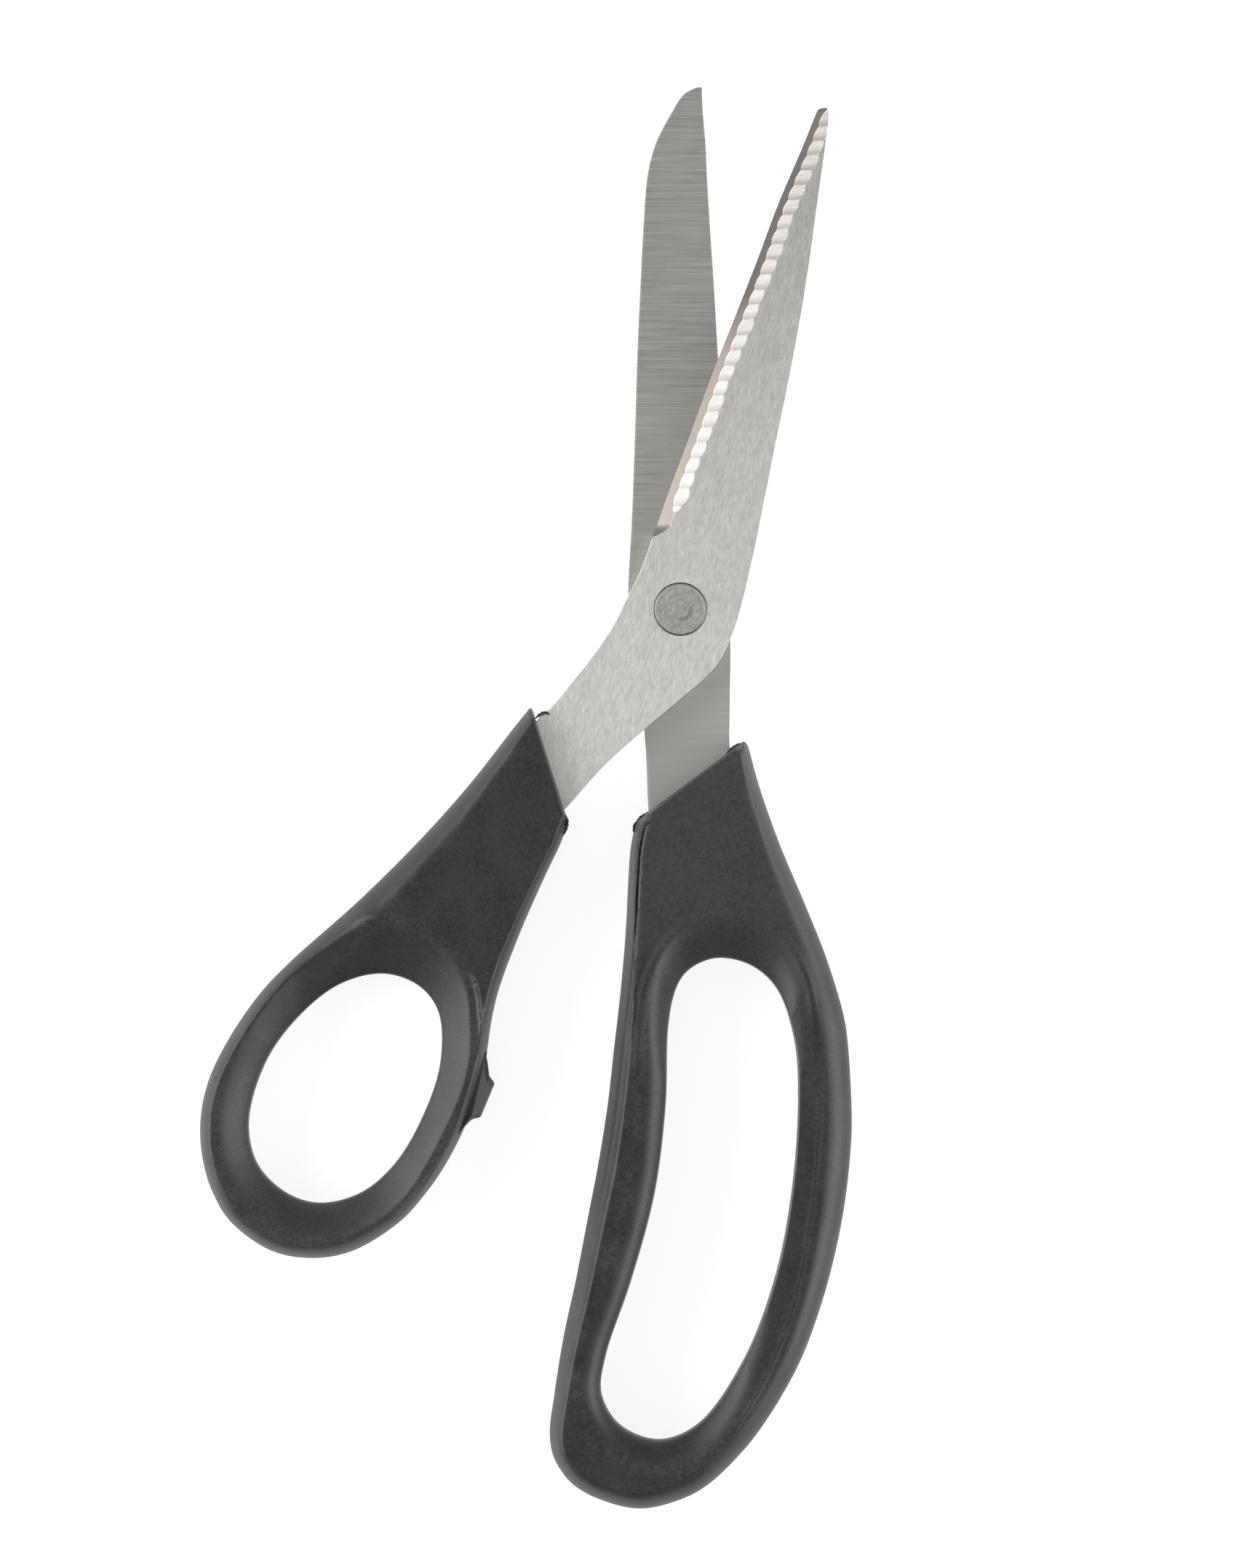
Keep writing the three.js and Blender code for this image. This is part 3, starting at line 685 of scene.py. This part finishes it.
def stop_bumper():
    """The block on the thumb loop that meets the finger handle when the shears are shut."""
    outline = np.vstack(
        [
            trace([(-29.2, -66.8), (-29.35, -68.8), (-28.95, -70.4), (-28.2, -71.5)], steps=6),
            trace([(-28.1, -71.8), (-30.05, -76.5)]),
            trace([(-30.3, -76.75), (-31.4, -77.05), (-32.35, -77.95), (-33.6, -79.6)], steps=6),
            trace([(-35, -76), (-32.5, -67)]),
        ]
    )
    half, bevel = 4, 0.7
    # Its upper and lower faces slope towards each other beyond this x.
    slope_from, slope = -31.5, 0.5
    count = len(outline)
    layers = [(-half, bevel), (-half + bevel, 0), (half - bevel, 0), (half, bevel)]
    inward = outline.mean(axis=0) - outline
    inward /= np.linalg.norm(inward, axis=1)[:, None]
    vertices = []
    for z, inset in layers:
        points = outline + inward * inset
        droop = slope * np.maximum(points[:, 0] - slope_from, 0)
        vertices += [(*p, MID + z - math.copysign(d, z)) for p, d in zip(points, droop)]
    faces = sleeve(len(layers), count)
    for base in (0, (len(layers) - 1) * count):
        faces += [[base, base + i, base + i + 1] for i in range(1, count - 1)]
    made = new_object("stop_bumper", vertices, faces)
    clean(made)
    # Dust over the whole block lightens it; part of that is painted light over the shade that the loop's
    # flank casts on its top.
    set_mask(made, "dust", np.ones(len(made.data.vertices)))
    return made


def flash(path, radius):
    """A thin sliver of plastic squeezed out at a parting line, lumpy and tapered to nothing at both ends."""
    step, sides, smooth_deg = 0.12, 7, 60
    line = evenly(trace(path), step)
    vertices = []
    for i, (x, y, z) in enumerate(line):
        share = i / (len(line) - 1)
        lump = 1 + 0.2 * math.sin(7 * x + 9 * y) + 0.1 * math.sin(17 * x - 5 * y)
        r = radius * lump * math.sin(math.pi * (0.03 + 0.94 * share)) ** 0.7
        ahead = line[min(i + 1, len(line) - 1)] - line[max(i - 1, 0)]
        side = np.array([-ahead[1], ahead[0], 0]) / np.hypot(ahead[0], ahead[1])
        for k in range(sides):
            a = math.tau * k / sides
            out, up = r * math.cos(a), r * math.sin(a)
            vertices.append((x + side[0] * out, y + side[1] * out, z + up))
    faces = sleeve(len(line), sides)
    faces.append(list(range(sides))[::-1])
    faces.append([(len(line) - 1) * sides + k for k in range(sides)])
    made = new_object("flash", vertices, faces, smooth_deg)
    clean(made)
    return made


def thumb_handle():
    """Flash curls over the blade at the collar's upper corner, and lies along its lower one."""
    on_blade = FRONT_HIGH + 0.15
    curl = [(x, y, on_blade) for x, y in [(-21.9, -16.5), (-21.2, -15.95), (-20.4, -15.6), (-19.75, -15.9)]]
    corner = [(-17.35, -31.0, 9.5), (-17.1, -31.9, 9.8), (-17.2, -33, 9.3), (-17.7, -34.2, 9)]
    return join([handle(THUMB), stop_bumper(), flash(curl, 0.27), flash(corner, 0.26)])


def finger_handle():
    """Flash lies at both ends of the collar, with one more sliver above the left end."""
    on_blade = REAR_HIGH + 0.15
    right = [
        (6.9, -21.9, on_blade),
        (7.6, -21.2, on_blade),
        (8.3, -20.7, on_blade + 0.3),
        (9.1, -20.2, on_blade + 1),
    ]
    left = [(-4.2, -30.3, on_blade), (-5.2, -31.0, on_blade), (-6.1, -31.6, 6.5), (-6.75, -32.6, 7)]
    end = [(-6.5, -31.9, 8), (-6.95, -32.7, 8.4), (-7.1, -33.8, 8)]
    return join([handle(FINGER), flash(right, 0.26), flash(left, 0.3), flash(end, 0.2)])


# ------------------------------------------------------------------ pivot


def pivot_rivet():
    """A head nearly flush with the front blade, a shank, and a tail spun over behind."""
    low, high = (corner.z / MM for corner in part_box("pivot_rivet"))
    tail_height = 0.7
    # Faint turned rings cover the head's flat top.
    ring_depth, ring_rate, flat_radius = 0.012, 5.2, 3.45
    tail = [[0, low], [2.3, low], [2.9, low + 0.08], [3.3, low + 0.25], [3.5, low + 0.55]]
    tail += [[3.45, low + tail_height], [SHANK_RADIUS, low + tail_height]]
    head = [[SHANK_RADIUS, high - HEAD_HEIGHT], [HEAD_RADIUS, high - HEAD_HEIGHT], [HEAD_RADIUS, high - 0.2]]
    head += [[HEAD_RADIUS - 0.03, high - 0.1], [HEAD_RADIUS - 0.11, high - 0.03], [HEAD_RADIUS - 0.3, high]]
    radii = np.linspace(flat_radius, 0, 40)
    rings = [[r, high - ring_depth * (1 - math.cos(r * ring_rate)) / 2] for r in radii]
    return turned("visual_pivot_rivet", tail + head + rings, segments=160, sharp_deg=40)


def ring_piece(name, node, inner, outer, dish=0):
    """A washer with its corners taken off, between its CAD node's lowest and highest points."""
    low, high = (corner.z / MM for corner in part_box(node))
    thick = high - low - dish
    chamfer = 0.06
    profile = [[inner, low + chamfer], [inner + chamfer, low]]
    profile += [[outer - chamfer, low + dish], [outer, low + dish + chamfer]]
    profile += [[outer, high - chamfer], [outer - chamfer, high]]
    profile += [[inner + chamfer, low + thick], [inner, low + thick - chamfer], [inner, low + chamfer]]
    return turned(name, profile)


# ------------------------------------------------------------------ materials


class Shader:
    """Builds one material's node tree, ending in a Principled BSDF. A value can be a socket or a number."""

    def __init__(self, name):
        self.material = bpy.data.materials.new(name)
        self.material.use_nodes = True
        self.tree = self.material.node_tree
        self.surface = self.tree.nodes["Principled BSDF"]
        self.place = self.node("ShaderNodeTexCoord").outputs["Object"]

    def node(self, kind, inputs=None, **settings):
        made = self.tree.nodes.new(kind)
        for key, value in settings.items():
            setattr(made, key, value)
        for key, value in (inputs or {}).items():
            self.feed(made.inputs[key], value)
        return made

    def feed(self, socket, value):
        if isinstance(value, bpy.types.NodeSocket):
            self.tree.links.new(value, socket)
        else:
            socket.default_value = value

    def math(self, operation, *values):
        made = self.node("ShaderNodeMath", operation=operation)
        for socket, value in zip(made.inputs, values):
            self.feed(socket, value)
        return made.outputs[0]

    def stretched(self, sizes_mm, turn_deg=0):
        """Texture coordinates in which one unit is the given size in each direction."""
        turned_place = self.node(
            "ShaderNodeMapping",
            {"Vector": self.place, "Rotation": (0, 0, math.radians(turn_deg))},
            vector_type="POINT",
        ).outputs[0]
        scale = tuple(1 / (size * MM) for size in sizes_mm)
        return self.node("ShaderNodeMapping", {"Vector": turned_place, "Scale": scale}).outputs[0]

    def noise(self, sizes_mm, turn_deg=0, detail=4, roughness=0.6):
        place = self.stretched(sizes_mm, turn_deg)
        inputs = {"Vector": place, "Scale": 1, "Detail": detail, "Roughness": roughness}
        return self.node("ShaderNodeTexNoise", inputs).outputs["Fac"]

    def ramp(self, value, low, high, out_low=0, out_high=1):
        inputs = {"Value": value, "From Min": low, "From Max": high, "To Min": out_low, "To Max": out_high}
        return self.node("ShaderNodeMapRange", inputs).outputs[0]

    def up_blade(self, low_mm, high_mm, out_low=0, out_high=1):
        """A ramp along Y, between two heights above the pivot."""
        y = self.node("ShaderNodeSeparateXYZ", {"Vector": self.place}).outputs["Y"]
        return self.ramp(y, (PIVOT.y + low_mm) * MM, (PIVOT.y + high_mm) * MM, out_low, out_high)

    def mix(self, factor, a, b, kind="RGBA"):
        inputs = {"Factor": factor, "A": a, "B": b}
        return self.node("ShaderNodeMix", inputs, data_type=kind).outputs["Result"]

    def mask(self, name):
        return self.node("ShaderNodeAttribute", attribute_name=name).outputs["Fac"]

    def bump(self, height, distance_mm, strength=1.0, after=None):
        inputs = {"Height": height, "Distance": distance_mm * MM, "Strength": strength}
        if after is not None:
            inputs["Normal"] = after
        return self.node("ShaderNodeBump", inputs).outputs[0]

    def finish(self, **inputs):
        for key, value in inputs.items():
            self.feed(self.surface.inputs[key.replace("_", " ")], value)
        return self.material


def grey(level):
    return (level, level, level, 1)


def steel(level):
    """A steel of this brightness, very slightly yellow."""
    return (level, 0.99 * level, 0.935 * level, 1)


def warm(level):
    """A steel browned by the heat of grinding."""
    return (level, 0.885 * level, 0.81 * level, 1)


def fluted_steel():
    """Brushed along the blade, with a warm ground strip at the edge and bright scooped flutes beside it."""
    s = Shader("fluted_steel")
    along_blade_deg = 12
    streaks = s.noise((0.15, 1.3, 1), turn_deg=along_blade_deg, detail=4, roughness=0.65)
    blotches = s.noise((0.9, 2.8, 2), turn_deg=along_blade_deg, detail=4)
    patches = s.noise((9, 14, 9), detail=3)
    wheel = s.noise((5, 0.15, 1), turn_deg=-4, detail=3)
    ground = s.ramp(wheel, 0.3, 0.7)

    tone = s.math("MULTIPLY_ADD", streaks, 0.7, s.math("MULTIPLY", blotches, 0.3))
    dull = s.mix(s.up_blade(-20, 60), steel(0.63), steel(0.43))
    bright = s.mix(s.up_blade(-20, 60), steel(1.0), steel(0.68))
    face = s.mix(s.ramp(tone, 0.36, 0.64), dull, bright)
    face = s.mix(s.ramp(patches, 0.52, 0.7, 0, 0.35), face, steel(0.54))

    # The strip is darker towards the tip.
    strip_heel = s.mix(ground, warm(0.31), warm(0.37))
    strip_middle = s.mix(ground, warm(0.25), warm(0.30))
    strip_tip = s.mix(ground, warm(0.106), warm(0.136))
    strip_low = s.mix(s.up_blade(12, 38), strip_heel, strip_middle)
    strip_colour = s.mix(s.up_blade(38, 48), strip_low, strip_tip)

    # So are the flutes. Painted shade darkens each one's lower side and the ridges between them.
    flute_heel = s.mix(ground, (0.62, 0.605, 0.58, 1), (0.78, 0.77, 0.75, 1))
    flute_tip = s.mix(ground, (0.35, 0.32, 0.295, 1), (0.60, 0.565, 0.525, 1))
    flute_colour = s.mix(s.up_blade(20, FLUTE_TOP), flute_heel, flute_tip)
    # Painted shade on each flute's lower side, stronger towards the tip.
    painted_lee_shade = s.math("MULTIPLY", s.ramp(s.mask("painted_lee_shade"), 0.5, 0.9), s.up_blade(20, FLUTE_TOP, 0.15, 0.75))
    flute_colour = s.mix(painted_lee_shade, flute_colour, (0.30, 0.265, 0.24, 1))
    # Painted shade along the ridges between flutes.
    flute_colour = s.mix(s.math("MULTIPLY", s.mask("ridge"), 0.6), flute_colour, (0.26, 0.21, 0.18, 1))

    flute, strip, wall = s.mask("flute"), s.mask("strip"), s.mask("wall")
    colour = s.mix(flute, s.mix(strip, face, strip_colour), flute_colour)
    colour = s.mix(wall, colour, (0.27, 0.255, 0.24, 1))
    roughness = s.mix(strip, s.ramp(streaks, 0.3, 0.7, 0.36, 0.5), 0.42, "FLOAT")
    metallic = s.mix(strip, 0.92, 0.7, "FLOAT")
    brushed_bump = s.bump(tone, 0.02, 0.5)
    ground_bump = s.bump(wheel, 0.02, 0.4)
    return s.finish(
        Base_Color=colour,
        Metallic=s.mix(flute, metallic, 0.1, "FLOAT"),
        Roughness=s.mix(flute, roughness, 0.5, "FLOAT"),
        Normal=s.mix(s.math("MAXIMUM", flute, strip), brushed_bump, ground_bump, "VECTOR"),
    )


def ground_steel():
    """Ground straight across in fine lines, some deeper and darker than the rest."""
    s = Shader("ground_steel")
    lines = s.noise((11, 0.17, 1), detail=3, roughness=0.7)
    bands = s.noise((24, 0.4, 1), detail=3)
    deep = s.noise((12, 0.16, 1), detail=2)
    clouds = s.noise((9, 16, 5), detail=2)
    tone = s.math("MULTIPLY_ADD", lines, 0.75, s.math("MULTIPLY", bands, 0.25))
    colour = s.mix(s.ramp(tone, 0.36, 0.64), steel(0.345), steel(0.535))
    colour = s.mix(s.ramp(deep, 0.64, 0.72, 0, 0.22), colour, steel(0.24))
    colour = s.mix(s.ramp(clouds, 0.4, 0.62, 0, 0.3), colour, steel(0.52))
    # The blade is plainer and brighter towards its handle.
    colour = s.mix(s.up_blade(-30, 35, 0.8, 0), colour, steel(0.62))
    return s.finish(
        Base_Color=colour,
        Metallic=0.92,
        Roughness=s.ramp(lines, 0.3, 0.7, 0.38, 0.5),
        Normal=s.bump(lines, 0.012, 0.5),
    )


def spun_steel():
    """Smears and a dark arc left by the tool that spun the rivet's head, a painted highlight on the upper
    right of its rim, and round it all a dark outline of painted shade.
    """
    s = Shader("spun_steel")
    ring_pitch, arc_radius, highlight_radius, shade_outline_radius = 0.9 * MM, 1.85 * MM, 3.5 * MM, 3.7 * MM
    to_pivot = (-PIVOT.x * MM, -PIVOT.y * MM, 0)
    about = s.node("ShaderNodeMapping", {"Vector": s.place, "Location": to_pivot}).outputs[0]
    flat = s.node("ShaderNodeVectorMath", {0: about, 1: (1, 1, 0)}, operation="MULTIPLY").outputs[0]
    radius = s.node("ShaderNodeVectorMath", {0: flat}, operation="LENGTH").outputs["Value"]

    def towards(x, y):
        """How far each point is in one direction from the pivot."""
        inputs = {0: flat, 1: (x, y, 0)}
        return s.node("ShaderNodeVectorMath", inputs, operation="DOT_PRODUCT").outputs["Value"]

    wander = s.noise((1.8, 1.8, 1), detail=3)
    turns = s.math("MULTIPLY_ADD", wander, 1.3, s.math("DIVIDE", radius, ring_pitch))
    rings = s.math("SINE", s.math("MULTIPLY", turns, math.tau))
    smears = s.noise((0.35, 0.9, 1), turn_deg=35, detail=4)
    colour = s.mix(s.ramp(smears, 0.35, 0.68), steel(0.45), steel(0.6))
    colour = s.mix(s.ramp(rings, 0.0, 1, 0, 0.16), colour, steel(0.3))

    wandering_radius = s.math("MULTIPLY_ADD", wander, 0.6 * MM, radius)
    from_arc = s.math("ABSOLUTE", s.math("SUBTRACT", wandering_radius, arc_radius))
    lower_right = s.ramp(towards(0.6, -0.8), 0.4 * MM, 1.4 * MM, 0, 0.55)
    arc = s.math("MULTIPLY", s.ramp(from_arc, 0.1 * MM, 0.45 * MM, 1, 0), lower_right)
    colour = s.mix(arc, colour, steel(0.16))

    # A painted highlight on the upper right of the head's rim.
    upper_right = s.ramp(towards(0.94, 0.34), 2.9 * MM, 3.5 * MM, 0, 0.4)
    rim = s.math("MULTIPLY", s.ramp(radius, highlight_radius, highlight_radius + 0.1 * MM), upper_right)
    colour = s.mix(rim, colour, steel(0.8))
    # A painted shade ring round the edge of the head, where it meets its sink.
    colour = s.mix(s.ramp(radius, shade_outline_radius, shade_outline_radius + 0.1 * MM, 0, 0.75), colour, steel(0.14))
    return s.finish(
        Base_Color=colour,
        Metallic=0.92,
        Roughness=s.ramp(smears, 0.3, 0.7, 0.38, 0.5),
        Normal=s.bump(rings, 0.012, 0.3, s.bump(smears, 0.02, 0.3)),
    )


def spring_steel():
    s = Shader("spring_steel")
    mottle = s.noise((0.8, 0.8, 0.8))
    colour = s.mix(mottle, steel(0.12), steel(0.26))
    return s.finish(
        Base_Color=colour,
        Metallic=0.9,
        Roughness=s.ramp(mottle, 0.3, 0.7, 0.3, 0.45),
        Normal=s.bump(mottle, 0.01, 0.3),
    )


def black_nylon():
    """Matte moulded plastic: fine grain, faint clouds, dust, and edges rubbed a little lighter, partly as a
    painted highlight.
    """
    s = Shader("black_nylon")
    grain = s.noise((0.18, 0.18, 0.18), detail=3, roughness=0.7)
    dust = s.noise((0.5, 0.5, 0.5), detail=5, roughness=0.75)
    clouds = s.noise((6, 8, 6), detail=4, roughness=0.6)
    scuffs = s.noise((2.2, 0.5, 1), turn_deg=50, detail=4)
    specks = s.noise((0.26, 0.26, 0.26), detail=1)
    colour = s.mix(s.ramp(clouds, 0.38, 0.64), grey(0.0045), grey(0.017))
    colour = s.mix(s.ramp(dust, 0.42, 0.68, 0, 0.7), colour, grey(0.027))
    colour = s.mix(s.ramp(scuffs, 0.55, 0.75, 0, 0.5), colour, (0.029, 0.026, 0.024, 1))
    colour = s.mix(s.ramp(specks, 0.72, 0.8, 0, 0.45), colour, (0.12, 0.11, 0.1, 1))
    dusty = s.math("MULTIPLY", s.mask("dust"), s.ramp(dust, 0.36, 0.64, 0.35, 1))
    colour = s.mix(dusty, colour, (0.047, 0.0455, 0.044, 1))
    uneven = s.math("MULTIPLY", s.ramp(dust, 0.4, 0.66), s.ramp(clouds, 0.4, 0.6, 0.15, 0.7))
    # Rubbed wear and a painted highlight along the handles' crests.
    rub_and_highlight = s.math("MULTIPLY", s.mask("edge"), uneven)
    colour = s.mix(rub_and_highlight, colour, (0.060, 0.0565, 0.053, 1))
    return s.finish(
        Base_Color=colour,
        Roughness=s.ramp(dust, 0.3, 0.7, 0.4, 0.56),
        Normal=s.bump(grain, 0.05, 0.5, s.bump(dust, 0.06, 0.3)),
    )


def white_nylon():
    s = Shader("white_nylon")
    mottle = s.noise((1.5, 1.5, 1.5))
    colour = s.mix(mottle, (0.72, 0.69, 0.6, 1), (0.82, 0.8, 0.72, 1))
    return s.finish(
        Base_Color=colour,
        Roughness=s.ramp(mottle, 0.3, 0.7, 0.45, 0.6),
        Normal=s.bump(mottle, 0.01, 0.2),
    )


def paper_white():
    """A floor that gives off light of its own, so that it shows an even white."""
    s = Shader("paper_white")
    fibre = s.noise((6, 6, 6), detail=3)
    colour = s.mix(fibre, grey(0.35), grey(0.38))
    s.feed(s.surface.inputs["Emission Color"], grey(1))
    s.feed(s.surface.inputs["Emission Strength"], 0.85)
    return s.finish(Base_Color=colour, Roughness=0.95, Normal=s.bump(fibre, 0.02, 0.1))


# ------------------------------------------------------------------ light and camera


def floor():
    half_size = 2.5
    # The raised lines stand out of the handles' backs by nearly this much, and the shears rest on them.
    drop = 0.0003
    mesh = bpy.data.meshes.new("floor")
    corners = [(x * half_size, y * half_size, 0) for x, y in [(-1, -1), (1, -1), (1, 1), (-1, 1)]]
    mesh.from_pydata(corners, [], [(0, 1, 2, 3)])
    made = bpy.data.objects.new("floor", mesh)
    made.location.z = -drop
    bpy.context.scene.collection.objects.link(made)
    mesh.materials.append(paper_white())


def soft_box(name, position, size, watts):
    """A rectangular lamp, aimed at the origin."""
    light = bpy.data.lights.new(name, "AREA")
    light.shape = "RECTANGLE"
    light.size, light.size_y = size
    light.energy = watts
    made = bpy.data.objects.new(name, light)
    made.location = position
    made.rotation_euler = (-Vector(position)).to_track_quat("-Z", "Y").to_euler()
    bpy.context.scene.collection.objects.link(made)


def studio():
    world = bpy.data.worlds.new("studio")
    world.use_nodes = True
    background = world.node_tree.nodes["Background"]
    background.inputs["Color"].default_value = (1, 1, 1, 1)
    background.inputs["Strength"].default_value = 0.46
    bpy.context.scene.world = world
    bpy.context.scene.view_settings.view_transform = "Standard"
    soft_box("left_box", position=(-0.75, 0.1, 0.36), size=(0.9, 0.6), watts=9.0)
    soft_box("right_box", position=(0.85, -0.1, 0.26), size=(0.9, 0.45), watts=7.5)


def camera():
    """Looks straight down from far off, at a point below the pivot and to its left."""
    distance = 1.6
    height_shown = 0.23716
    left_mm, below_mm = 7.98, 26.4
    data = bpy.data.cameras.new("camera")
    data.sensor_fit = "VERTICAL"
    data.sensor_height = 24
    data.lens = data.sensor_height * distance / height_shown
    made = bpy.data.objects.new("camera", data)
    made.location = ((PIVOT.x - left_mm) * MM, (PIVOT.y - below_mm) * MM, distance + MID * MM)
    bpy.context.scene.collection.objects.link(made)
    bpy.context.scene.camera = made


# ------------------------------------------------------------------ assembly


def fit(made, material, body, node, slot):
    """Puts a piece in place of its CAD node."""
    made.data.materials.clear()
    made.data.materials.append(material)
    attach(made, body)
    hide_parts(node)


def build():
    nylon = black_nylon()
    spun = spun_steel()
    fit(front_blade(), fluted_steel(), "thumb_half", "front_blade", "bright_steel")
    fit(rear_blade(), ground_steel(), "finger_half", "rear_blade", "ground_steel")
    fit(thumb_handle(), nylon, "thumb_half", "thumb_handle", "black_nylon")
    fit(finger_handle(), nylon, "finger_half", "finger_handle", "black_nylon")
    fit(pivot_rivet(), spun, "finger_half", "pivot_rivet", "rivet_steel")
    collar = ring_piece("visual_rivet_collar", "rivet_collar", inner=2.6, outer=4.6)
    fit(collar, spun, "finger_half", "rivet_collar", "rivet_steel")
    spring = ring_piece("visual_spring_washer", "spring_washer", inner=2.8, outer=5.2, dish=0.45)
    fit(spring, spring_steel(), "finger_half", "spring_washer", "spring_steel")
    glide = ring_piece("visual_glide_washer", "glide_washer", inner=2.8, outer=5.8)
    fit(glide, white_nylon(), "finger_half", "glide_washer", "white_nylon")


build()
floor()
studio()
camera()
